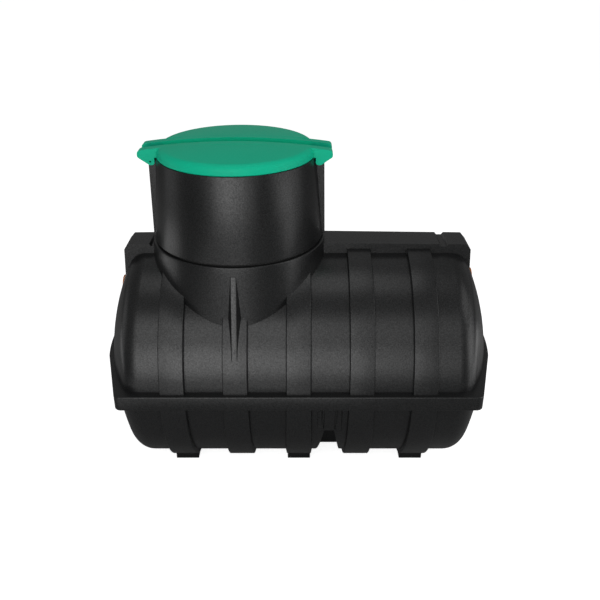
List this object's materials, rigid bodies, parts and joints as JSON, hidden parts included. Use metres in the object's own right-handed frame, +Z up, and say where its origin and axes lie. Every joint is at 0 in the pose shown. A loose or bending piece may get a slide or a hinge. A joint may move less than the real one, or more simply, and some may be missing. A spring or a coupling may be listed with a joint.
{
  "type": "underground water tank",
  "caption": "Lying black plastic water tank for burial, with domed ends, hoops, a belt, feet, a manhole neck with a riser, and a green lid that lifts off",
  "frame": {"origin": "on the ground under the middle of the tank, centre of its footprint", "axes": "X along the tank with the inlet end at +X, Y across it with the front looking along -Y, Z up"},
  "size_m": [2.094, 1.288, 1.7249],
  "materials": {
    "tank_black": "fine grained, satin",
    "lid_green": "fine grained, satin",
    "pipe_orange": "smooth pipe plastic",
    "gasket_rubber": "matt rubber"
  },
  "bodies": {
    "tank": {"belt_back": "tank_black", "belt_front": "tank_black", "belt_left": "tank_black", "belt_right": "tank_black", "end_left": "tank_black", "end_right": "tank_black", "fin_left": "tank_black", "fin_right": "tank_black", "foot_left": "tank_black", "foot_middle": "tank_black", "foot_right": "tank_black", "gasket": "gasket_rubber", "gusset_back": "tank_black", "gusset_front": "tank_black", "hoop_1_lower": "tank_black", "hoop_1_upper": "tank_black", "hoop_2_lower": "tank_black", "hoop_2_upper": "tank_black", "hoop_3_lower": "tank_black", "hoop_3_upper": "tank_black", "hoop_4_lower": "tank_black", "hoop_4_upper": "tank_black", "hoop_5_lower": "tank_black", "hoop_5_upper": "tank_black", "neck": "tank_black", "pipe_inlet": "pipe_orange", "pipe_outlet": "pipe_orange", "rail_left": "tank_black", "rail_right": "tank_black", "riser": "tank_black", "shell_lower_back": "tank_black", "shell_lower_front": "tank_black", "shell_upper_back": "tank_black", "shell_upper_front": "tank_black"},
    "lid": {"lid_bar": "lid_green", "lid_leaf_back": "lid_green", "lid_leaf_front": "lid_green", "lid_plug": "lid_green"}
  },
  "joints": [
    {"name": "lid_lift", "type": "slide", "parent": "tank", "child": "lid", "axis": [0, 0, 1], "range_m": [0, 0.5]}
  ]
}
